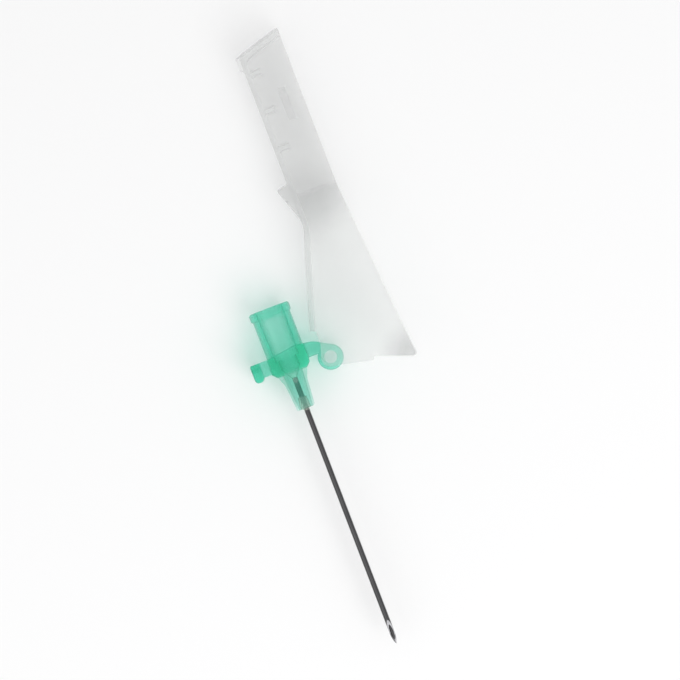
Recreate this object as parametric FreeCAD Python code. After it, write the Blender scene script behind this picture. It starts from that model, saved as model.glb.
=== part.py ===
# Safety hypodermic needle: a steel cannula glued into a moulded luer hub, and a moulded sheath that
# hinges on the hub's yoke and swings round to trap the cannula after use.
# Sizes are in millimetres. The origin is the centre of the luer mouth. +Y leaves the mouth, the
# cannula points along -Y, +X goes towards the hinge and +Z is along the hinge pins.
import FreeCAD, Part
import math
import os

# Cannula, 21 gauge by 1 1/2 inch
cannula_diameter = 0.82
cannula_bore = 0.51
exposed_length = 38.1
bevel_angle = 12.0
lancet_angle = 16.5
lancet_turn = 32.0

# Luer socket and the passage below it
luer_mouth_diameter = 4.3
luer_taper = 0.06
luer_depth = 8.0
mouth_chamfer = 0.2
chamber_diameter = 2.9
chamber_length = 1.6
funnel_length = 1.6
bond_gap = 0.015

# Outside of the socket
socket_diameter = 5.9
rim_diameter = 6.4
rim_height = 1.15
lug_span = 7.8
lug_width = 4.0
lug_low_side = 1.95
lug_high_side = 1.05

# Yoke that carries the hinge
yoke_top = 7.25
yoke_rise = 0.65
yoke_bottom = 10.35
yoke_half_width = 3.0
yoke_span = 7.6
yoke_rounding = 0.3
crest_x = 1.85
crest_radius = 4.0
shoulder_inset = 1.75
shoulder_drop = 0.4
shoulder_radius = 3.0
foot_side = 0.6
arm_thickness = 1.7
slot_corner = 0.6
hinge_x = 6.2
hinge_drop = 10.2
ring_radius = 1.95
ring_hang = 1.1
pin_radius = 0.95
pin_chamfer = 0.25
hinge_clearance = 0.05

# Ribbed nose and the glue well at its end
hub_length = 16.1
nose_rib_reach = 2.35
nose_rib_waist = 1.75
nose_waist_drop = 11.9
nose_waist_radius = 2.0
nose_end_reach = 1.4
nose_core_top = 1.6
nose_core_end = 1.15
nose_rib_thickness = 0.8
glue_well_depth = 1.8
glue_well_radius = 0.85
glue_well_floor = 0.7
glue_meniscus = 0.35
glue_sag = 0.08

# Latch arm on the far side of the hub from the hinge
latch_reach = 5.7
latch_bar_width = 1.4
latch_bar_length = 2.85
latch_bar_neck = 6.6
latch_stem_height = 2.35
latch_stem_width = 3.2
latch_ledge = 0.65
latch_ramp = 0.65
latch_toe_radius = 0.6

# Sheath walls, spine and closed end
wall = 0.85
spine_thickness = 0.85
end_wall = 1.1
side_gap = 0.2
channel_width = 4.2
channel_depth = 7.05
needle_to_spine = 2.25
point_room = 2.0
tip_rise = 2.1
base_length = 18.2
shoulder_length = 9.1
shoulder_start_radius = 5.0
heel_behind_hinge = 1.6
heel_b = 4.7
spine_bend_b = 19.5
spine_bend_radius = 6.0
edge_bend_b = 23.6
edge_bend_radius = 12.0
edge_flare = 2.0
corner_height = 1.8
corner_radius = 1.0
corner_toe = 0.3
toe_radius = 0.5
relief_a = 5.9
relief_height = 0.6
relief_lean = 0.2
base_slope = 15.6
ear_radius = 1.45
neck_height = 2.45
neck_inset = 0.7
neck_fillet = 1.5
back_rounding = 1.0
inner_tip_fillet = 1.2

# Thumb stop and tip lip on the back of the sheath
thumb_stop_height = 1.8
thumb_stop_top_b = 26.7
thumb_stop_length = 5.6
thumb_stop_width = 5.0
thumb_face_lean = 0.5
thumb_foot_radius = 1.0
thumb_ridge_count = 4
thumb_ridge_height = 0.22
lip_height = 0.55
lip_length = 1.9
lip_drop = 0.1
lip_slope = 0.4

# Latch nibs, cannula catch and rest ribs inside the sheath
nib_height = 0.55
nib_length = 1.5
nib_width = 2.0
nib_inset = 0.35
latch_gap = 0.1
catch_b = 38.0
catch_length = 5.0
catch_thickness = 0.5
catch_gap = 0.3
catch_clearance = 0.25
catch_slant = 1.5
rib_thickness = 0.8
rib_places = 3
rib_spacing = 6.0

# Radius of small moulded corners, the depth that an added piece starts inside its wall, and how far
# a cutting shape runs past what it cuts
small_corner = 0.3
bite = 0.4
overshoot = 2.0

# A length taken as none, and the least share of a unit normal for a face that looks backwards
nearly_zero = 1e-6
back_facing = 0.9

# Sizes that follow from the ones above
cannula_radius = cannula_diameter / 2
cannula_hole_radius = cannula_radius + bond_gap
socket_radius = socket_diameter / 2
luer_mouth_radius = luer_mouth_diameter / 2
luer_end_radius = luer_mouth_radius - luer_taper * luer_depth / 2
chamber_end_y = -(luer_depth + chamber_length)
cannula_seat_y = chamber_end_y - funnel_length
nose_y = -hub_length
point_y = nose_y - exposed_length
yoke_top_y = -yoke_top
yoke_bottom_y = -yoke_bottom
hinge_y = -hinge_drop
arm_underside_y = hinge_y + ring_hang
yoke_half_span = yoke_span / 2
yoke_slot_half = yoke_half_span - arm_thickness
base_half_inside = yoke_half_span + side_gap
base_half_outside = base_half_inside + wall
channel_half_inside = channel_width / 2
channel_half_outside = channel_half_inside + wall

# The sheath is modelled open, with a across it and b along it from the hinge axis. Closing turns it
# half round the hinge, so the cannula is trapped as far beyond the hinge as it lies before it now.
spine_inside_a = hinge_x - needle_to_spine
spine_back_a = spine_inside_a - spine_thickness
free_edge_a = spine_back_a + channel_depth
heel_a = -heel_behind_hinge
corner_a = free_edge_a + edge_flare
tip_b = hinge_y - point_y + point_room + end_wall
nib_face_b = hinge_y - yoke_top_y - latch_gap
corner_b = nib_face_b - nib_length
trapped_x = 2 * hinge_x


def vec(x, y, z=0.0):
    return FreeCAD.Vector(x, y, z)


def rounded_face(corners):
    """Face in the XY plane through (x, y, radius) corners, each corner rounded to its radius."""
    edges = []
    last = None
    first = None
    count = len(corners)
    for i in range(count):
        x, y, radius = corners[i]
        here = vec(x, y)
        before = vec(*corners[i - 1][:2]) - here
        after = vec(*corners[(i + 1) % count][:2]) - here
        if radius > 0:
            half = before.getAngle(after) / 2
            before.normalize()
            after.normalize()
            middle = before + after
            middle.normalize()
            start = here + before * (radius / math.tan(half))
            end = here + after * (radius / math.tan(half))
            top = here + middle * (radius / math.sin(half) - radius)
        else:
            start = here
            end = here
        if last is not None:
            edges.append(Part.LineSegment(last, start).toShape())
        else:
            first = start
        if radius > 0:
            edges.append(Part.Arc(start, top, end).toShape())
        last = end
    edges.append(Part.LineSegment(last, first).toShape())
    return Part.Face(Part.Wire(edges))


def slab(corners, low, high):
    """Outline in the XY plane, thick from low to high along Z."""
    face = rounded_face(corners)
    face.translate(vec(0, 0, low))
    return face.extrude(vec(0, 0, high - low))


def sheath_slab(corners, low, high):
    """The same for an outline given across and along the open sheath from the hinge axis."""
    return slab([(hinge_x + a, hinge_y + b, radius) for a, b, radius in corners], low, high)


def tangent_point(x, y, centre_x, centre_y, radius, side):
    """Where a line from (x, y) touches a circle, anticlockwise (1) or clockwise (-1) of the point."""
    towards = math.atan2(y - centre_y, x - centre_x)
    turn = math.acos(radius / math.hypot(x - centre_x, y - centre_y))
    angle = towards + side * turn
    return centre_x + radius * math.cos(angle), centre_y + radius * math.sin(angle)


def turned(points):
    """Solid of revolution about the Y axis through (radius, y) points."""
    face = Part.Face(Part.makePolygon([vec(r, y) for r, y in points + points[:1]]))
    return face.revolve(vec(0, 0, 0), vec(0, 1, 0), 360)


def peg(x, y, radius, low, high):
    """Round peg along Z."""
    return Part.makeCylinder(radius, high - low, vec(x, y, low), vec(0, 0, 1))


def block(x, y, z):
    """Box between the two ends given for each axis."""
    size = [high - low for low, high in (x, y, z)]
    return Part.makeBox(*size, vec(x[0], y[0], z[0]))


def both_sides(shape):
    """The shape and its mirror image across the plane of the cannula and sheath."""
    return shape.fuse(shape.mirror(vec(0, 0, 0), vec(0, 0, 1)))


def bevel_cutter(angle, turn):
    """Everything above a plane through the point, tilted by angle and turned about the cannula."""
    size = exposed_length / 2
    cutter = block((-size, size), (-size, size), (0, size))
    cutter.rotate(vec(0, 0, 0), vec(1, 0, 0), angle)
    cutter.translate(vec(0, 0, -cannula_radius))
    cutter.rotate(vec(0, 0, 0), vec(0, 1, 0), turn)
    drop = vec(0, 0, -cannula_radius)
    turned_drop = FreeCAD.Rotation(vec(0, 1, 0), turn).multVec(drop)
    cutter.translate(drop - turned_drop + vec(0, point_y, 0))
    return cutter


def make_cannula():
    """Thin steel tube with a three-facet lancet point that faces +Z."""
    length = cannula_seat_y - point_y
    start = vec(0, point_y, 0)
    along = vec(0, 1, 0)
    tube = Part.makeCylinder(cannula_radius, length, start, along)
    tube = tube.cut(Part.makeCylinder(cannula_bore / 2, length, start, along))
    tube = tube.cut(bevel_cutter(bevel_angle, 0))
    for side in (-1, 1):
        tube = tube.cut(bevel_cutter(lancet_angle, side * lancet_turn))
    return tube


def make_socket():
    """Outside of the luer socket: rim, barrel and the core that runs into the yoke."""
    rim = rim_diameter / 2
    step = rim - socket_radius
    return turned([
        (0, 0), (rim - mouth_chamfer, 0), (rim, -mouth_chamfer), (rim, -rim_height),
        (socket_radius, -rim_height - step), (socket_radius, arm_underside_y), (0, arm_underside_y),
    ])


def make_lugs():
    """Two locking lugs, front and back, with sloped undersides that a luer lock collar draws on."""
    half = lug_width / 2
    disc = Part.makeCylinder(lug_span / 2, lug_low_side, vec(0, -lug_low_side, 0), vec(0, 1, 0))
    wedge = slab([
        (-half, 0, 0), (-half, -lug_low_side, small_corner),
        (half, -lug_high_side, small_corner), (half, 0, 0),
    ], 0, lug_span)
    lug = disc.common(wedge)
    back = lug.copy()
    back.rotate(vec(0, 0, 0), vec(0, 1, 0), 180)
    return lug.fuse(back)


def is_along_y(edge):
    """True for a straight edge that runs along Y."""
    line = edge.lastVertex().Point - edge.firstVertex().Point
    return abs(line.x) < nearly_zero and abs(line.z) < nearly_zero


def lies_at_z(edge, z):
    """True where the whole edge lies in the front or the back face at that distance."""
    box = edge.BoundBox
    return box.ZLength < nearly_zero and abs(abs(box.ZMin) - z) < nearly_zero


def make_yoke():
    """Collar across the socket whose two arms rise and drop to the hinge rings."""
    high = yoke_top_y + yoke_rise
    shoulder_x = hinge_x - shoulder_inset
    shoulder_y = high - shoulder_drop
    foot_y = arm_underside_y - foot_side
    outline = [
        (-yoke_half_width, yoke_top_y, small_corner),
        (crest_x, high, crest_radius),
        (shoulder_x, shoulder_y, shoulder_radius),
        (*tangent_point(shoulder_x, shoulder_y, hinge_x, hinge_y, ring_radius, -1), 0),
        (hinge_x, arm_underside_y, 0),
        (yoke_half_width, arm_underside_y, small_corner),
        (yoke_half_width, foot_y, small_corner),
        (nose_rib_reach, yoke_bottom_y, small_corner),
        (-nose_rib_reach, yoke_bottom_y, small_corner),
        (-yoke_half_width, foot_y, small_corner),
    ]
    yoke = slab(outline, -yoke_half_span, yoke_half_span)
    yoke = yoke.fuse(peg(hinge_x, hinge_y, ring_radius, -yoke_half_span, yoke_half_span)).removeSplitter()
    yoke = yoke.makeFillet(yoke_rounding, [e for e in yoke.Edges if lies_at_z(e, yoke_half_span)])
    reach = hinge_x + ring_radius + overshoot
    slot = block((yoke_half_width, reach), (nose_y, 0), (-yoke_slot_half, yoke_slot_half))
    inner_corners = [e for e in slot.Edges if is_along_y(e) and e.BoundBox.XMax < reach - overshoot]
    yoke = yoke.cut(slot.makeFillet(slot_corner, inner_corners))
    bore = pin_radius + hinge_clearance
    return yoke.cut(peg(hinge_x, hinge_y, bore, -yoke_span, yoke_span))


def make_latch_arm():
    """Arm with a cross bar; the bar narrows downwards so that the sheath's nibs ride up and over."""
    inner = -latch_reach + latch_bar_width
    top = yoke_top_y
    toe = top - latch_bar_length
    stem_half = latch_stem_width / 2
    stem = block((inner - latch_bar_width / 2, 0), (top - latch_stem_height, top), (-stem_half, stem_half))
    side = slab([
        (-latch_reach, top, small_corner), (-latch_reach, toe, latch_toe_radius),
        (inner, toe, latch_toe_radius), (inner, top, small_corner),
    ], -yoke_half_span, yoke_half_span)
    neck_half = latch_bar_neck / 2
    ledge = top - latch_ledge
    ramp_end = ledge - latch_ramp
    front = Part.Face(Part.makePolygon([
        vec(0, top, -yoke_half_span), vec(0, top, yoke_half_span), vec(0, ledge, yoke_half_span),
        vec(0, ramp_end, neck_half), vec(0, toe, neck_half), vec(0, toe, -neck_half),
        vec(0, ramp_end, -neck_half), vec(0, ledge, -yoke_half_span), vec(0, top, -yoke_half_span),
    ]))
    bar = front.extrude(vec(-latch_reach, 0, 0)).common(side)
    return stem.fuse(bar)


def make_nose():
    """Tapered core with four ribs that steady the cannula where it leaves the hub."""
    core = turned([
        (0, yoke_top_y), (nose_core_top, yoke_top_y), (nose_core_top, yoke_bottom_y),
        (nose_core_end, nose_y), (0, nose_y),
    ])
    half = nose_rib_thickness / 2
    waist_y = -nose_waist_drop
    rib = slab([
        (-nose_rib_reach, yoke_top_y, 0), (-nose_rib_reach, yoke_bottom_y, 0),
        (-nose_rib_waist, waist_y, nose_waist_radius), (-nose_end_reach, nose_y, small_corner),
        (nose_end_reach, nose_y, small_corner), (nose_rib_waist, waist_y, nose_waist_radius),
        (nose_rib_reach, yoke_bottom_y, 0), (nose_rib_reach, yoke_top_y, 0),
    ], -half, half)
    crossed = rib.copy()
    crossed.rotate(vec(0, 0, 0), vec(0, 1, 0), 90)
    return core.multiFuse([rib, crossed])


def make_passage():
    """Everything hollow in the hub: 6 % luer cone, chamber, funnel, cannula hole and glue well."""
    chamber = chamber_diameter / 2
    mouth = luer_mouth_radius + mouth_chamfer
    well_floor_y = nose_y + glue_well_depth
    return turned([
        (0, overshoot), (mouth, overshoot), (mouth, 0), (luer_mouth_radius, -mouth_chamfer),
        (luer_end_radius, -luer_depth), (chamber, -luer_depth), (chamber, chamber_end_y),
        (cannula_hole_radius, cannula_seat_y), (cannula_hole_radius, well_floor_y),
        (glue_well_floor, well_floor_y), (glue_well_radius, nose_y),
        (glue_well_radius, nose_y - overshoot), (0, nose_y - overshoot),
    ])


def make_hub():
    hub = make_socket()
    for piece in (make_lugs(), make_yoke(), make_latch_arm(), make_nose()):
        hub = hub.fuse(piece)
    return hub.cut(make_passage()).removeSplitter()


def make_adhesive():
    """Cured glue that fills the well round the cannula and creeps a little way along it."""
    well_floor_y = nose_y + glue_well_depth
    rim = vec(glue_well_radius, nose_y)
    foot = vec(cannula_radius, nose_y - glue_meniscus)
    chord_middle = (rim + foot) / 2
    inwards = vec(cannula_radius, nose_y) - chord_middle
    hollow = chord_middle + inwards.normalize() * glue_sag
    corners = [foot, vec(cannula_radius, well_floor_y), vec(glue_well_floor, well_floor_y), rim]
    edges = [Part.LineSegment(a, b).toShape() for a, b in zip(corners, corners[1:])]
    edges.append(Part.Arc(rim, hollow, foot).toShape())
    return Part.Face(Part.Wire(edges)).revolve(vec(0, 0, 0), vec(0, 1, 0), 360)


def sheath_outline():
    """Side view of the sheath's walls, open edge on the right, without the ears."""
    slope = math.tan(math.radians(base_slope))
    relief_low = corner_b + slope * (corner_a - relief_a)
    heel_slope = (spine_back_a - heel_a) / (spine_bend_b - heel_b)
    neck = (-neck_inset, neck_height)
    return [
        (heel_a, heel_b, 0),
        (spine_back_a, spine_bend_b, spine_bend_radius),
        (spine_back_a, tip_b, 0),
        (free_edge_a, tip_b + tip_rise, small_corner),
        (free_edge_a, edge_bend_b, edge_bend_radius),
        (corner_a, corner_b + corner_height, corner_radius),
        (corner_a + corner_toe, corner_b, toe_radius),
        (relief_a + relief_lean, relief_low + relief_height, relief_lean),
        (relief_a, relief_low, small_corner),
        (*tangent_point(relief_a, relief_low, 0, 0, ear_radius, -1), 0),
        (0, 0, 0),
        (*tangent_point(*neck, 0, 0, ear_radius, 1), 0),
        (*neck, neck_fillet),
        (heel_a + spine_thickness, heel_b - heel_slope * spine_thickness, relief_lean),
    ]


def half_width_face(half_base, half_channel, offset, low_b, high_b):
    """Front view of the sheath: wide base, ogee shoulder, narrow channel; offset moves the ogee in."""
    drop = half_base - half_channel
    total = (shoulder_length ** 2 + drop ** 2) / (2 * drop)
    first = shoulder_start_radius
    second = total - first
    turn = math.asin(shoulder_length / total)
    start_b = base_length
    end_b = start_b + shoulder_length
    middle_b = start_b + first * math.sin(turn)
    middle_z = half_base - first * (1 - math.cos(turn))

    def at(b, z):
        return vec(0, hinge_y + b, z)

    def bulge(b, z, radius, angle):
        """Point of an arc about (b, z), angle past the direction square to the sheath."""
        return at(b + radius * math.sin(angle), z + radius * math.cos(angle))

    low_centre = half_base - first
    high_centre = half_channel + second
    joint = at(middle_b - offset * math.sin(turn), middle_z - offset * math.cos(turn))
    base_z = half_base - offset
    channel_z = half_channel - offset
    low_bulge = bulge(start_b, low_centre, first - offset, turn / 2)
    high_bulge = bulge(end_b, high_centre, -second - offset, turn / 2)
    upper = Part.Wire([
        Part.LineSegment(at(low_b, base_z), at(start_b, base_z)).toShape(),
        Part.Arc(at(start_b, base_z), low_bulge, joint).toShape(),
        Part.Arc(joint, high_bulge, at(end_b, channel_z)).toShape(),
        Part.LineSegment(at(end_b, channel_z), at(high_b, channel_z)).toShape(),
    ])
    lower = upper.mirror(vec(0, 0, 0), vec(0, 0, 1))
    ends = [
        Part.LineSegment(at(high_b, channel_z), at(high_b, -channel_z)).toShape(),
        Part.LineSegment(at(low_b, -base_z), at(low_b, base_z)).toShape(),
    ]
    return Part.Face(Part.Wire(Part.sortEdges(upper.Edges + lower.Edges + ends)[0]))


def back_edges(shape):
    """Edges that run up the two sides of the sheath's back, from its heel to its closed end."""
    edges = []
    for face in shape.Faces:
        u_low, u_high, v_low, v_high = face.ParameterRange
        normal = face.normalAt((u_low + u_high) / 2, (v_low + v_high) / 2)
        if normal.x > -back_facing or abs(normal.z) > nearly_zero:
            continue
        for edge in face.Edges:
            middle = edge.CenterOfMass
            beside = abs(middle.z) > channel_half_inside
            above_heel = middle.y > hinge_y + heel_b
            if beside and above_heel and edge.BoundBox.YLength > small_corner:
                edges.append(edge)
    return edges


def sheath_shell():
    """Walls and spine: the side view and the front view crossed, less the same pair a wall smaller."""
    low = corner_b - overshoot
    high = tip_b + tip_rise + overshoot
    reach = corner_a + overshoot
    span = reach - heel_a + overshoot
    side = sheath_slab(sheath_outline(), -base_half_outside, base_half_outside)
    front = half_width_face(base_half_outside, channel_half_outside, 0, low, high)
    front = front.extrude(vec(span, 0, 0))
    front.translate(vec(hinge_x + heel_a - overshoot / 2, 0, 0))
    outside = side.common(front)
    outside = outside.makeFillet(back_rounding, back_edges(outside))

    tilt = (spine_back_a - heel_a) / (spine_bend_b - heel_b)
    across = spine_thickness * math.sqrt(1 + tilt ** 2)
    end_slope = tip_rise / channel_depth
    hollow = sheath_slab([
        (heel_a + across - tilt * (heel_b - low), low, 0),
        (spine_inside_a, spine_bend_b, spine_bend_radius + spine_thickness),
        (spine_inside_a, tip_b - end_wall + end_slope * spine_thickness, inner_tip_fillet),
        (reach, tip_b - end_wall + end_slope * (reach - spine_back_a), 0),
        (reach, low, 0),
    ], -base_half_outside, base_half_outside)
    inner = half_width_face(base_half_outside, channel_half_outside, wall, low - overshoot, high + overshoot)
    inner = inner.extrude(vec(2 * span, 0, 0))
    inner.translate(vec(hinge_x + heel_a - span / 2, 0, 0))
    return outside.cut(hollow.common(inner))


def make_ears():
    """Round ears on the wall ends with the stub pins that turn in the yoke's rings."""
    ear = peg(hinge_x, hinge_y, ear_radius, base_half_inside, base_half_outside)
    pin = peg(hinge_x, hinge_y, pin_radius, yoke_slot_half, base_half_inside)
    rim = [e for e in pin.Edges if lies_at_z(e, yoke_slot_half)]
    pin = pin.makeChamfer(pin_chamfer, rim)
    return both_sides(ear.fuse(pin))


def make_nibs():
    """Wedges inside the base's free corner that snap past the hub's latch bar."""
    inner = base_half_inside
    middle = inner + wall / 2
    face = hinge_y + nib_face_b
    low = hinge_y + corner_b
    wedge = Part.Face(Part.makePolygon([
        vec(0, low, inner), vec(0, face, inner - nib_height), vec(0, face, middle),
        vec(0, low, middle), vec(0, low, inner),
    ])).extrude(vec(nib_width, 0, 0))
    wedge.translate(vec(hinge_x + corner_a - nib_inset - nib_width, 0, 0))
    within = sheath_slab(sheath_outline(), 0, base_half_outside)
    return both_sides(wedge.common(within))


def make_catch():
    """Pair of slanted fingers that the cannula pushes between and can't come back through."""
    tip = trapped_x + cannula_radius + catch_clearance
    root = tip + catch_slant
    gap = catch_gap / 2
    middle = channel_half_inside + wall / 2
    finger = Part.Face(Part.makePolygon([
        vec(tip, 0, gap), vec(root, 0, middle), vec(root + catch_thickness, 0, middle),
        vec(tip + catch_thickness, 0, gap), vec(tip, 0, gap),
    ])).extrude(vec(0, catch_length, 0))
    finger.translate(vec(0, hinge_y + catch_b - catch_length / 2, 0))
    return both_sides(finger)


def make_rest_ribs():
    """Cross ribs on the spine that the trapped cannula lies against."""
    low = hinge_x + spine_inside_a - bite
    high = trapped_x - cannula_radius - catch_clearance
    first = hinge_y + catch_b - rib_spacing * (rib_places - 1) / 2
    half = channel_half_inside + wall / 2
    ribs = []
    for i in range(rib_places):
        y = first + i * rib_spacing
        ribs.append(block((low, high), (y - rib_thickness / 2, y + rib_thickness / 2), (-half, half)))
    return ribs


def make_thumb_stop():
    """Ramp on the back of the shoulder, cut with shallow grip steps, that a thumb pushes against."""
    root_a = spine_back_a + bite
    crest_a = spine_back_a - thumb_stop_height
    crest_b = thumb_stop_top_b - thumb_face_lean
    foot_b = thumb_stop_top_b - thumb_stop_length
    half = thumb_stop_width / 2
    ramp = sheath_slab([
        (root_a, thumb_stop_top_b, 0), (crest_a, crest_b, small_corner),
        (spine_back_a, foot_b, thumb_foot_radius), (root_a, foot_b - bite, 0),
    ], -half, half)
    run = crest_b - foot_b
    angle = math.atan2(thumb_stop_height, run)
    pitch = math.hypot(thumb_stop_height, run) / (thumb_ridge_count + 1)
    depth = thumb_ridge_height
    for i in range(thumb_ridge_count):
        along = pitch * (i + 1)
        a = crest_a + along * math.sin(angle)
        b = crest_b - along * math.cos(angle)
        groove = sheath_slab([(a - depth, b, 0), (a + depth, b, 0), (a - depth, b - 2 * depth, 0)],
                             -thumb_stop_width, thumb_stop_width)
        ramp = ramp.cut(groove)
    return ramp


def make_tip_lip():
    """Raised lip across the flat of the back at the sheath's closed end."""
    half = channel_half_outside - back_rounding
    top = tip_b - lip_drop
    low = tip_b - lip_length
    root_a = spine_back_a + bite
    crest_a = spine_back_a - lip_height
    return sheath_slab([
        (root_a, top, 0), (crest_a, top, small_corner), (crest_a, low, small_corner),
        (spine_back_a, low - lip_slope, 0), (root_a, low - lip_slope, 0),
    ], -half, half)


def make_sheath():
    sheath = sheath_shell()
    for piece in [make_ears(), make_nibs(), make_catch(), make_thumb_stop(), make_tip_lip()]:
        sheath = sheath.fuse(piece)
    for rib in make_rest_ribs():
        sheath = sheath.fuse(rib)
    return sheath.removeSplitter()


os.makedirs("parts", exist_ok=True)
pieces = {
    "cannula": make_cannula(),
    "hub": make_hub(),
    "adhesive": make_adhesive(),
    "sheath": make_sheath(),
}
for name, shape in pieces.items():
    solids = shape.Solids
    print(name, len(solids), "solid,", round(shape.Volume, 2), "mm3, valid", shape.isValid())
    solids[0].exportStep(f"parts/{name}.step")
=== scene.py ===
import math

import bpy
from mathutils import Matrix, Vector


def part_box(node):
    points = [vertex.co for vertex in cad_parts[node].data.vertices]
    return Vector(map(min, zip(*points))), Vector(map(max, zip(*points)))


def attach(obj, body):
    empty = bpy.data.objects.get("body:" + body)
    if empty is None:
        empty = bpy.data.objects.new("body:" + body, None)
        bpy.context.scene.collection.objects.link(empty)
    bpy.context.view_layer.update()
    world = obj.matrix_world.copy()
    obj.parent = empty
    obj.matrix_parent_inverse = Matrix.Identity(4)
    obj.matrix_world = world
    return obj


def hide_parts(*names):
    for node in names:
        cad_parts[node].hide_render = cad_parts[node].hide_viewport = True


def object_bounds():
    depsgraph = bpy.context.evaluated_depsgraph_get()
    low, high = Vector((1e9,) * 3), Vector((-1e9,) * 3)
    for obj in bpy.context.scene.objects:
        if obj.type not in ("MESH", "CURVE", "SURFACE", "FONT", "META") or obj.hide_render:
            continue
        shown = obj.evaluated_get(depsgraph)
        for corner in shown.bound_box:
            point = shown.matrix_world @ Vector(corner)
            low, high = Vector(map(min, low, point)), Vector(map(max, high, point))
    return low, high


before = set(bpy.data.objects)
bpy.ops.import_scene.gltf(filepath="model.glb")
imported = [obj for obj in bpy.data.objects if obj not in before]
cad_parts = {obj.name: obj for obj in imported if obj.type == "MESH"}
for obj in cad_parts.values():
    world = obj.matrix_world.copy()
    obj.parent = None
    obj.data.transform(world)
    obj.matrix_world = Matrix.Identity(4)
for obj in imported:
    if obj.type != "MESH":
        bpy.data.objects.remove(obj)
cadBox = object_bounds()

millimetre = 0.001
print("frame loaded:", ", ".join(sorted(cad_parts)))


# The photograph looks straight down the hinge pins, with the cannula pointing down and to the right
cameraView = {
    "aim": (8.41, -8.34),          # mm, point of the part at the middle of the picture
    "pictureUp": (0.357, 0.934),   # the picture's upward direction, across the part
    "pictureWidth": 102.6,         # mm seen across the picture
    "lens": 210.0,                 # mm, long enough to look almost without perspective
    "sensor": 36.0,                # mm
    "nearest": 0.01,               # m, and nothing nearer or farther than these is drawn
    "farthest": 20.0,
}
clearFaces = 32                    # that light can cross, for walls, pins and rings lie many deep


def makeCamera(view):
    lens = bpy.data.cameras.new("photoCamera")
    lens.lens = view["lens"]
    lens.sensor_width = view["sensor"]
    lens.clip_start = view["nearest"]
    lens.clip_end = view["farthest"]
    camera = bpy.data.objects.new("photoCamera", lens)
    bpy.context.scene.collection.objects.link(camera)
    up = Vector((*view["pictureUp"], 0)).normalized()
    back = Vector((0, 0, 1))
    right = up.cross(back)
    distance = view["pictureWidth"] * millimetre * view["lens"] / view["sensor"]
    camera.matrix_world = Matrix((right, up, back)).transposed().to_4x4()
    camera.location = Vector((*view["aim"], 0)) * millimetre + back * distance
    bpy.context.scene.camera = camera


makeCamera(cameraView)
bpy.context.scene.cycles.transparent_max_bounces = clearFaces
print("camera set")


# Node helpers: an input takes a plain value, or is linked when it is given another node's socket
def setInputs(node, links, values):
    for name, value in values.items():
        if isinstance(value, bpy.types.NodeSocket):
            links.new(value, node.inputs[name])
        else:
            node.inputs[name].default_value = value


class TreeMaker:
    def __init__(self, tree):
        self.tree = tree
        self.links = tree.links

    def add(self, kind, settings=None, inputs=None):
        node = self.tree.nodes.new(kind)
        for name, value in (settings or {}).items():
            setattr(node, name, value)
        setInputs(node, self.links, inputs or {})
        return node

    def math(self, operation, *values):
        node = self.add("ShaderNodeMath", {"operation": operation})
        setInputs(node, self.links, dict(enumerate(values)))
        return node.outputs["Value"]

    def split(self, vector):
        return self.add("ShaderNodeSeparateXYZ", inputs={"Vector": vector}).outputs


def startMaterial(name):
    material = bpy.data.materials.new(name)
    material.use_nodes = True
    return material, TreeMaker(material.node_tree), material.node_tree.nodes["Principled BSDF"]


# Lights and floor, in metres and watts
studio = {
    "floorSize": 1.6,
    "floorGap": 0.00003,           # keeps the sheath's clear wall off the floor that is seen through it
    "floorColor": (0.93, 0.93, 0.93, 1.0),
    "floorRoughness": 0.9,
    "floorShine": 0.1,
    "skyStrength": 0.8,
    "horizonColor": (0.5, 0.5, 0.51, 1.0),
    "zenithColor": (1.0, 1.0, 1.0, 1.0),
    "zenithStart": 0.75,           # share of the way up at which the sky is at its lightest
    "aim": (0.008, -0.008, 0),
    "softboxes": {
        # name: place, side, power
        "keySoftbox": ((0.16, -0.42, 0.55), 0.45, 1.9),
        "fillSoftbox": ((-0.4, -0.1, 0.5), 0.5, 0.4),
    },
}


def makeFloor(look):
    low = cadBox[0].z - look["floorGap"]
    half = look["floorSize"] / 2
    corners = [(-half, -half, low), (half, -half, low), (half, half, low), (-half, half, low)]
    mesh = bpy.data.meshes.new("floor")
    mesh.from_pydata(corners, [], [(0, 1, 2, 3)])
    floor = bpy.data.objects.new("floor", mesh)
    bpy.context.scene.collection.objects.link(floor)
    material, maker, shader = startMaterial("paleFloor")
    setInputs(shader, maker.links, {
        "Base Color": look["floorColor"], "Roughness": look["floorRoughness"],
        "Specular IOR Level": look["floorShine"]})
    mesh.materials.append(material)


def makeSky(look):
    world = bpy.data.worlds.new("studioWorld")
    bpy.context.scene.world = world
    world.use_nodes = True
    maker = TreeMaker(world.node_tree)
    direction = maker.add("ShaderNodeTexCoord").outputs["Generated"]
    fade = maker.add("ShaderNodeValToRGB", inputs={"Fac": maker.split(direction)["Z"]})
    fade.color_ramp.elements[0].color = look["horizonColor"]
    fade.color_ramp.elements[1].position = look["zenithStart"]
    fade.color_ramp.elements[1].color = look["zenithColor"]
    setInputs(world.node_tree.nodes["Background"], maker.links, {
        "Color": fade.outputs["Color"], "Strength": look["skyStrength"]})


def addSoftbox(name, place, side, power):
    light = bpy.data.lights.new(name, "AREA")
    light.shape = "SQUARE"
    light.size = side
    light.energy = power
    lamp = bpy.data.objects.new(name, light)
    bpy.context.scene.collection.objects.link(lamp)
    lamp.location = place
    lamp.rotation_mode = "QUATERNION"
    lamp.rotation_quaternion = (Vector(place) - Vector(studio["aim"])).to_track_quat("Z", "Y")


makeFloor(studio)
makeSky(studio)
for name, (place, side, power) in studio["softboxes"].items():
    addSoftbox(name, place, side, power)
bpy.context.scene.view_settings.view_transform = "Standard"
print("studio lit")


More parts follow.
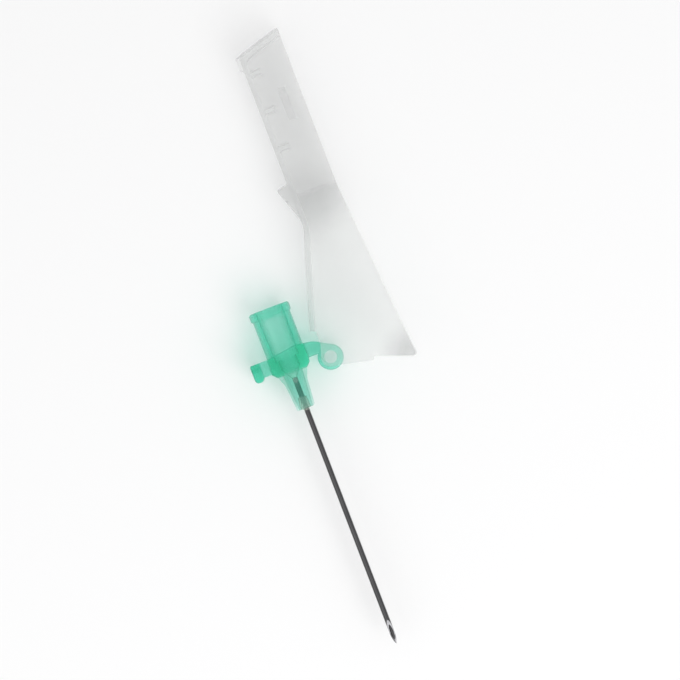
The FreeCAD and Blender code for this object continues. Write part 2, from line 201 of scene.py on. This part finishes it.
# Moulded plastic: part of the light goes straight through, part scatters inside the wall, and the
# skin shines more the flatter it is looked at
greenPlastic = {
    "color": (0.1, 0.64, 0.47),
    "shade": (0.9, 0.93, 0.93),      # tint of the cloudier streaks
    "cloudSize": 4.0,                # mm across the streaks that the melt left
    "cloudStretch": (1.0, 0.35, 1.0),
    "grainSize": 0.12,               # mm, spark-eroded grain of the mould
    "grainDepth": 0.25,
    "waveSize": 2.2,                 # mm, faint sinks where the wall is thick
    "waveDepth": 0.12,
    "roughness": (0.1, 0.2),
    "clear": (0.955, 0.98),          # share of light that each face lets straight through
    "slantMilk": 0.5,                # how much of that is lost where a wall is looked at slantwise
    "through": 0.4,                  # share of the scattered light that goes on into the wall
    "depthColor": (0.14, 0.92, 0.78, 1.0),    # what a thick wall leaves of white light
    "depthDensity": 380.0,
    "polished": None,                # this moulding is alike inside and outside
    # Cloudier stretches, and on the sheath patches of painted shade: a middle in mm, the distances from
    # it at which the patch ends and is full, and the shares of tint and of clearness that the full patch
    # leaves
    "cloudierAndShaded": [
        ((-5.2, -8.7), 2.6, 0.8, 0.85, 0.9),       # thick latch bar
        ((0.0, -12.8), 4.2, 1.8, 1.0, 0.84),       # thick nose
    ],
}
frostedPlastic = {
    "color": (0.95, 0.96, 0.955),
    "shade": (0.95, 0.955, 0.95),
    "cloudSize": 6.0,
    "cloudStretch": (1.0, 0.3, 1.0),
    "grainSize": 0.16,
    "grainDepth": 0.35,
    "waveSize": 4.0,
    "waveDepth": 0.15,
    "roughness": (0.38, 0.52),
    "clear": (0.88, 0.91),
    "slantMilk": 0.0,
    "through": 0.4,
    "depthColor": (0.8, 0.82, 0.81, 1.0),
    "depthDensity": 40.0,
    # The inside is polished up to the first distance in mm from the middle plane, and frosted from
    # the second; the third value is the share of light that the polish lets straight through
    "polished": (2.25, 2.4, 0.985),
    "cloudierAndShaded": [
        # painted shade: greys the narrow channel up to the tip and makes it less clear
        ((12.0, 70.0), 64.0, 54.0, 0.7, 0.91),     # narrow channel
        # painted shade: greys the sloped shoulder band, where its faces turn from the light
        ((10.5, 12.8), 8.0, 2.0, 0.84, 0.95),      # shoulder
        # painted shade: greys the corner where the latch nibs and toe stack, and makes it less clear
        ((18.2, -14.0), 6.0, 1.0, 0.72, 0.9),      # corner with the latch nibs
    ],
}
mouldedSkin = {
    "straightShine": 0.04,           # share of light that a face throws back straight on
    "grazingShine": 0.56,            # share added at a grazing look, kept under 1 by the grain
    "grazingPower": 5.0,
    "slantPower": 1.5,
    "waveHeight": 0.1,               # mm, that a depth of 1 would reach
    "grainHeight": 0.01,
}
noiseMiddle = (0.3, 0.7)             # most of what a noise gives lies between these


def noiseAt(maker, place, size, stretch=(1, 1, 1), detail=2.0):
    # noise with features about size mm across, drawn out where stretch is under 1
    scaled = maker.add("ShaderNodeMapping", inputs={"Vector": place, "Scale": stretch})
    noise = maker.add("ShaderNodeTexNoise", inputs={
        "Vector": scaled.outputs["Vector"], "Scale": 1 / (size * millimetre), "Detail": detail})
    return noise.outputs["Fac"]


def spread(maker, noise, low, high):
    # the noise's middle range opened out to go from low to high
    node = maker.add("ShaderNodeMapRange", inputs={
        "Value": noise, "From Min": noiseMiddle[0], "From Max": noiseMiddle[1],
        "To Min": low, "To Max": high})
    return node.outputs["Result"]


def shadedTint(maker, noise, color, shade):
    # the colour, multiplied by the shade where the noise is high
    shaded = (c * s for c, s in zip(color, shade))
    tint = maker.add("ShaderNodeMix", {"data_type": "RGBA"}, {
        "Factor": spread(maker, noise, 0.0, 1.0), "A": (*color, 1), "B": (*shaded, 1)})
    return tint.outputs["Result"]


def raisedBy(maker, noise, depth, height, under=None):
    # a skin raised by the noise, over another raised skin where one is given
    inputs = {"Strength": depth, "Distance": height * millimetre, "Height": noise}
    if under:
        inputs["Normal"] = under
    return maker.add("ShaderNodeBump", inputs=inputs).outputs["Normal"]


def mouldedNormal(maker, place, look):
    waves = noiseAt(maker, place, look["waveSize"])
    grain = noiseAt(maker, place, look["grainSize"])
    wavy = raisedBy(maker, waves, look["waveDepth"], mouldedSkin["waveHeight"])
    return raisedBy(maker, grain, look["grainDepth"], mouldedSkin["grainHeight"], wavy)


def cloudAndShadeFade(maker, away, edge, core, least):
    # 1 beyond the edge, easing to least inside the core
    node = maker.add("ShaderNodeMapRange", {"interpolation_type": "SMOOTHSTEP"}, {
        "Value": away, "From Min": edge * millimetre, "From Max": core * millimetre,
        "To Min": 1.0, "To Max": least})
    return node.outputs["Result"]


def addCloudsAndShade(maker, place, cloudAndShadePatches, tint, clearShare):
    # each patch of cloud and of painted shade goes right through the moulding, so its distance is
    # measured across the part only
    level = maker.add("ShaderNodeVectorMath", {"operation": "MULTIPLY"}, {0: place, 1: (1, 1, 0)})
    for middle, edge, core, grey, clearness in cloudAndShadePatches:
        away = maker.add("ShaderNodeVectorMath", {"operation": "DISTANCE"}, {
            0: level.outputs["Vector"], 1: Vector((*middle, 0)) * millimetre}).outputs["Value"]
        greyed = maker.add("ShaderNodeVectorMath", {"operation": "SCALE"}, {
            0: tint, "Scale": cloudAndShadeFade(maker, away, edge, core, grey)})
        tint = greyed.outputs["Vector"]
        clearShare = maker.math("MULTIPLY", clearShare, cloudAndShadeFade(maker, away, edge, core, clearness))
    return tint, clearShare


def polishInside(maker, place, polish, clearShare):
    start, end, clearness = polish
    node = maker.add("ShaderNodeMapRange", inputs={
        "Value": maker.math("ABSOLUTE", maker.split(place)["Z"]),
        "From Min": start * millimetre, "From Max": end * millimetre,
        "To Min": clearness, "To Max": clearShare})
    return node.outputs["Result"]


def slantShare(maker, facing, milk):
    # what is left of the clear share the flatter a wall is looked at
    slanted = maker.math("POWER", facing, mouldedSkin["slantPower"])
    return maker.math("MULTIPLY_ADD", slanted, -milk, 1.0)


def shineShare(maker, facing):
    grazing = maker.math("POWER", facing, mouldedSkin["grazingPower"])
    return maker.math("MULTIPLY_ADD", grazing, mouldedSkin["grazingShine"], mouldedSkin["straightShine"])


def mixShaders(maker, share, first, second):
    # the share goes to the second
    node = maker.add("ShaderNodeMixShader", inputs={0: share, 1: first, 2: second})
    return node.outputs["Shader"]


def makePlastic(name, look):
    material, maker, shader = startMaterial(name)
    place = maker.add("ShaderNodeTexCoord").outputs["Object"]
    streaks = noiseAt(maker, place, look["cloudSize"], look["cloudStretch"], detail=3.0)
    tint = shadedTint(maker, streaks, look["color"], look["shade"])
    clearShare = spread(maker, streaks, look["clear"][1], look["clear"][0])
    # patches of painted shade grey the sheath's channel, shoulder and nib corner; the hub's thick parts
    # are made cloudier and greyer
    tint, clearShare = addCloudsAndShade(maker, place, look["cloudierAndShaded"], tint, clearShare)
    if look["polished"]:
        clearShare = polishInside(maker, place, look["polished"], clearShare)
    normal = mouldedNormal(maker, place, look)
    facing = maker.add("ShaderNodeLayerWeight", inputs={"Normal": normal}).outputs["Facing"]
    clearShare = maker.math("MULTIPLY", clearShare, slantShare(maker, facing, look["slantMilk"]))
    roughness = spread(maker, noiseAt(maker, place, look["waveSize"], detail=4.0), *look["roughness"])

    setInputs(shader, maker.links, {
        "Base Color": tint, "Roughness": roughness, "Specular IOR Level": 0.0, "Normal": normal})
    through = maker.add("ShaderNodeBsdfTranslucent", inputs={"Color": tint, "Normal": normal})
    clear = maker.add("ShaderNodeBsdfTransparent")
    gloss = maker.add("ShaderNodeBsdfGlossy", inputs={"Roughness": roughness, "Normal": normal})
    milk = mixShaders(maker, look["through"], shader.outputs["BSDF"], through.outputs["BSDF"])
    body = mixShaders(maker, clearShare, milk, clear.outputs["BSDF"])
    skin = mixShaders(maker, shineShare(maker, facing), body, gloss.outputs["BSDF"])
    depth = maker.add("ShaderNodeVolumeAbsorption", inputs={
        "Color": look["depthColor"], "Density": look["depthDensity"]})
    setInputs(maker.tree.nodes["Material Output"], maker.links, {
        "Surface": skin, "Volume": depth.outputs["Volume"]})
    return material


# Steel: drawn along the tube, ground across the bevels; its colours are painted reflection, dark on the
# tube and lighter on the bevels
drawnFinishPaintedDark = {
    # painted dark reflection: far below bare steel, standing for the dark surroundings that the tube
    # mirrors
    "color": (0.11, 0.11, 0.113),
    "roughness": (0.16, 0.3),
    "scratchSize": 0.05,                   # mm across a scratch
    "scratchStretch": (1.0, 0.03, 1.0),    # scratches run along the cannula
}
groundFinishPaintedLighter = {
    # painted lighter reflection on the ground bevels, standing for the light that they throw back
    "color": (0.26, 0.26, 0.27),
    "roughness": (0.26, 0.4),
    "scratchSize": 0.03,
    "scratchStretch": (0.05, 1.0, 0.05),   # scratches run across the bevels
}
steelWear = {
    "stainSize": 5.0,                      # mm
    "stainShade": (0.85, 0.85, 0.85),
    "scratchDepth": 0.3,
    "scratchHeight": 0.01,                 # mm, that a depth of 1 would reach
}


def makeSteel(name, look):
    material, maker, shader = startMaterial(name)
    place = maker.add("ShaderNodeTexCoord").outputs["Object"]
    scratches = noiseAt(maker, place, look["scratchSize"], look["scratchStretch"], detail=4.0)
    stains = noiseAt(maker, place, steelWear["stainSize"])
    setInputs(shader, maker.links, {
        "Base Color": shadedTint(maker, stains, look["color"], steelWear["stainShade"]),
        "Metallic": 1.0,
        "Roughness": spread(maker, scratches, *look["roughness"]),
        "Normal": raisedBy(maker, scratches, steelWear["scratchDepth"], steelWear["scratchHeight"])})
    return material


glueFinish = {
    "color": (0.85, 0.88, 0.8, 1),
    "roughness": 0.12,
    "clear": 0.8,              # share of light that goes through
    "rippleSize": 0.4,         # mm
    "rippleDepth": 0.2,
    "rippleHeight": 0.02,      # mm, that a depth of 1 would reach
}


def makeGlue(name, look):
    material, maker, shader = startMaterial(name)
    place = maker.add("ShaderNodeTexCoord").outputs["Object"]
    ripples = noiseAt(maker, place, look["rippleSize"])
    setInputs(shader, maker.links, {
        "Base Color": look["color"], "Roughness": look["roughness"], "Transmission Weight": look["clear"],
        "Normal": raisedBy(maker, ripples, look["rippleDepth"], look["rippleHeight"])})
    return material


hubPlastic = makePlastic("greenPolypropylene", greenPlastic)
sheathPlastic = makePlastic("frostedPolypropylene", frostedPlastic)
drawnSteelPaintedDark = makeSteel("drawnSteelPaintedDark", drawnFinishPaintedDark)
groundSteelPaintedLighter = makeSteel("groundSteelPaintedLighter", groundFinishPaintedLighter)
glue = makeGlue("curedGlue", glueFinish)
print("materials made")


# Geometry Nodes shared by the turned pieces: a ring of edges round the Y axis is pulled from each
# (radius, height) to the next, and the skin between them closes on itself
weldDistance = 0.0001 * millimetre     # nearer points are joined


def startTree(name, sizes):
    tree = bpy.data.node_groups.new(name, "GeometryNodeTree")
    tree.interface.new_socket("Geometry", in_out="INPUT", socket_type="NodeSocketGeometry")
    for label, value in sizes.items():
        kind = "NodeSocketInt" if isinstance(value, int) else "NodeSocketFloat"
        tree.interface.new_socket(label, in_out="INPUT", socket_type=kind)
    tree.interface.new_socket("Geometry", in_out="OUTPUT", socket_type="NodeSocketGeometry")
    maker = TreeMaker(tree)
    return maker, maker.add("NodeGroupInput").outputs, maker.add("NodeGroupOutput")


def position(maker):
    return maker.add("GeometryNodeInputPosition").outputs["Position"]


def ringPlace(maker, radius, height):
    # the point of the ring at this radius and height, in the direction that it has already
    here = maker.split(position(maker))
    flat = maker.add("ShaderNodeCombineXYZ", inputs={"X": here["X"], "Z": here["Z"]})
    outwards = maker.add("ShaderNodeVectorMath", {"operation": "NORMALIZE"}, {0: flat.outputs["Vector"]})
    reach = maker.add("ShaderNodeVectorMath", {"operation": "SCALE"}, {
        0: outwards.outputs["Vector"], "Scale": radius})
    lift = maker.add("ShaderNodeCombineXYZ", inputs={"Y": height})
    total = maker.add("ShaderNodeVectorMath", {"operation": "ADD"}, {
        0: reach.outputs["Vector"], 1: lift.outputs["Vector"]})
    return total.outputs["Vector"]


def turnRings(maker, segments, rings):
    circle = maker.add("GeometryNodeMeshCircle", inputs={"Vertices": segments, "Radius": rings[0][0]})
    upright = maker.add("GeometryNodeTransform", inputs={
        "Geometry": circle.outputs["Mesh"], "Rotation": (math.pi / 2, 0, 0)})
    placed = maker.add("GeometryNodeSetPosition", inputs={
        "Geometry": upright.outputs["Geometry"], "Position": ringPlace(maker, *rings[0])})
    geometry = placed.outputs["Geometry"]
    pulled = True
    for radius, height in rings[1:] + rings[:1]:
        extrude = maker.add("GeometryNodeExtrudeMesh", {"mode": "EDGES"}, {
            "Mesh": geometry, "Selection": pulled, "Offset Scale": 0.0})
        pulled = extrude.outputs["Top"]
        placed = maker.add("GeometryNodeSetPosition", inputs={
            "Geometry": extrude.outputs["Mesh"], "Selection": pulled,
            "Position": ringPlace(maker, radius, height)})
        geometry = placed.outputs["Geometry"]
    return geometry


def raiseSome(maker, geometry, selection, lift):
    # moves the selected points along the Y axis
    offset = maker.add("ShaderNodeCombineXYZ", inputs={"Y": lift})
    moved = maker.add("GeometryNodeSetPosition", inputs={
        "Geometry": geometry, "Selection": selection, "Offset": offset.outputs["Vector"]})
    return moved.outputs["Geometry"]


def finishTree(maker, groupOutput, geometry, material, creaseAngle, facets=None):
    # edges sharper than the crease angle stay sharp
    # facets: which faces stay flat, and the material that they take
    merged = maker.add("GeometryNodeMergeByDistance", inputs={
        "Geometry": geometry, "Distance": weldDistance})
    outwards = maker.add("GeometryNodeFlipFaces", inputs={"Mesh": merged.outputs["Geometry"]})
    angle = maker.add("GeometryNodeInputMeshEdgeAngle").outputs["Unsigned Angle"]
    soft = maker.add("FunctionNodeCompare", {"data_type": "FLOAT", "operation": "LESS_THAN"}, {
        "A": angle, "B": creaseAngle})
    smooth = maker.add("GeometryNodeSetShadeSmooth", {"domain": "EDGE"}, {
        "Geometry": outwards.outputs["Mesh"], "Shade Smooth": soft.outputs["Result"]})
    real = maker.add("GeometryNodeRealizeInstances", inputs={"Geometry": smooth.outputs["Geometry"]})
    dressed = maker.add("GeometryNodeSetMaterial", inputs={
        "Geometry": real.outputs["Geometry"], "Material": material})
    if facets:
        selection, facetMaterial = facets
        flat = maker.add("GeometryNodeSetShadeSmooth", {"domain": "FACE"}, {
            "Geometry": dressed.outputs["Geometry"], "Selection": selection, "Shade Smooth": False})
        dressed = maker.add("GeometryNodeSetMaterial", inputs={
            "Geometry": flat.outputs["Geometry"], "Selection": selection, "Material": facetMaterial})
    maker.links.new(dressed.outputs["Geometry"], groupOutput.inputs["Geometry"])


def growPiece(name, tree, sizes, node):
    # runs the tree once and keeps the plain mesh, which stands for the CAD node
    seed = bpy.data.objects.new(name + "Seed", bpy.data.meshes.new(name + "Seed"))
    bpy.context.scene.collection.objects.link(seed)
    modifier = seed.modifiers.new("grow", "NODES")
    modifier.node_group = tree
    for item in tree.interface.items_tree:
        if item.in_out == "INPUT" and item.name in sizes:
            modifier[item.identifier] = sizes[item.name]
    seed.update_tag()
    evaluated = seed.evaluated_get(bpy.context.evaluated_depsgraph_get())
    mesh = bpy.data.meshes.new_from_object(evaluated)
    bpy.data.objects.remove(seed)
    mesh.name = name
    if mesh.materials[0] is None:
        mesh.materials.pop(index=0)    # the seed's own empty slot
    piece = bpy.data.objects.new(name, mesh)
    bpy.context.scene.collection.objects.link(piece)
    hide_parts(node)
    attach(piece, "hub")
    print(name, "grown with", len(mesh.polygons), "faces")


# Cannula: a tube whose point is cut by one long bevel and two lancet bevels turned to its sides
cannulaLow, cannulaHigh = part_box("cannula")
steelTube = {
    "Outer Radius": 0.41 * millimetre,
    "Bore Radius": 0.255 * millimetre,
    "Seat": cannulaHigh.y,
    "Point": cannulaLow.y,
    "Bevel Angle": math.radians(12.0),
    "Lancet Angle": math.radians(16.5),
    "Lancet Turn": math.radians(32.0),
    "Segments": 96,
}
steelGrind = {
    "reach": 1.0 * millimetre,     # points nearer than this to the tube's end are moved to the bevels
    "slope": -0.1,                 # a face that looks this far down the cannula was ground
    "crease": math.radians(20),
}


def bevelHeight(maker, angle, turn, outer):
    # how far above the point a plane through it stands at each place
    here = maker.split(position(maker))
    above = maker.math("ADD", here["Z"], outer)
    sideways = maker.math("MULTIPLY", here["X"], maker.math("SINE", turn))
    upwards = maker.math("MULTIPLY", above, maker.math("COSINE", turn))
    return maker.math("DIVIDE", maker.math("ADD", sideways, upwards), maker.math("TANGENT", angle))


def makeCannulaTree(sizes):
    maker, size, groupOutput = startTree("cannulaTube", sizes)
    outer, bore = size["Outer Radius"], size["Bore Radius"]
    seat, point = size["Seat"], size["Point"]
    rings = [(outer, seat), (outer, point), (bore, point), (bore, seat)]
    tube = turnRings(maker, size["Segments"], rings)
    turn = size["Lancet Turn"]
    bevel = bevelHeight(maker, size["Bevel Angle"], 0.0, outer)
    leftLancet = bevelHeight(maker, size["Lancet Angle"], turn, outer)
    rightLancet = bevelHeight(maker, size["Lancet Angle"], maker.math("MULTIPLY", turn, -1.0), outer)
    tallest = maker.math("MAXIMUM", maker.math("MAXIMUM", bevel, leftLancet), rightLancet)
    along = maker.split(position(maker))["Y"]
    atPoint = maker.math("LESS_THAN", along, maker.math("ADD", point, steelGrind["reach"]))
    ground = raiseSome(maker, tube, atPoint, tallest)
    normal = maker.add("GeometryNodeInputNormal").outputs["Normal"]
    facet = maker.math("LESS_THAN", maker.split(normal)["Y"], steelGrind["slope"])
    finishTree(maker, groupOutput, ground, drawnSteelPaintedDark, steelGrind["crease"], (facet, groundSteelPaintedLighter))
    return maker.tree


growPiece("cannulaTube", makeCannulaTree(steelTube), steelTube, "cannula")


# Glue: fills the well in the nose and creeps down the cannula in a hollow skirt
glueLow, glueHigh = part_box("adhesive")
glueBead = {
    "Cannula Radius": 0.411 * millimetre,
    "Rim Radius": 0.85 * millimetre,
    "Floor Radius": 0.7 * millimetre,
    "Floor": glueHigh.y,
    "Nose End": -16.1 * millimetre,
    "Foot": glueLow.y,
    "Unevenness": 0.05 * millimetre,
    "Segments": 64,
}
glueSkirt = {
    "steps": 9,                    # rings in the hollow skirt
    "start": 0.01 * millimetre,    # below the nose's end, from where the glue runs unevenly
    "waves": 900.0,                # to the metre
    "crease": math.radians(40),
}


def makeGlueTree(sizes):
    maker, size, groupOutput = startTree("glueBead", sizes)
    inner, rim = size["Cannula Radius"], size["Rim Radius"]
    spare = maker.math("SUBTRACT", rim, inner)
    creep = maker.math("SUBTRACT", size["Nose End"], size["Foot"])
    rings = [(inner, size["Floor"]), (size["Floor Radius"], size["Floor"])]
    for step in range(glueSkirt["steps"] + 1):
        turn = math.pi / 2 * step / glueSkirt["steps"]
        radius = maker.math("MULTIPLY_ADD", spare, 1 - math.sin(turn), inner)
        height = maker.math("MULTIPLY_ADD", creep, math.cos(turn) - 1, size["Nose End"])
        rings.append((radius, height))
    bead = turnRings(maker, size["Segments"], rings)
    here = position(maker)
    skirtStart = maker.math("SUBTRACT", size["Nose End"], glueSkirt["start"])
    skirt = maker.math("LESS_THAN", maker.split(here)["Y"], skirtStart)
    waves = maker.add("ShaderNodeTexNoise", inputs={
        "Vector": here, "Scale": glueSkirt["waves"], "Detail": 0.0})
    lift = maker.math("MULTIPLY", waves.outputs["Fac"], size["Unevenness"])
    uneven = raiseSome(maker, bead, skirt, lift)
    finishTree(maker, groupOutput, uneven, glue, glueSkirt["crease"])
    return maker.tree


growPiece("glueBead", makeGlueTree(glueBead), glueBead, "adhesive")


# The two mouldings keep their own shapes and take the plastics
for node, finish in (("hub", hubPlastic), ("sheath", sheathPlastic)):
    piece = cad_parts[node]
    for dressing in piece.material_slots:
        dressing.material = finish
print("mouldings dressed")
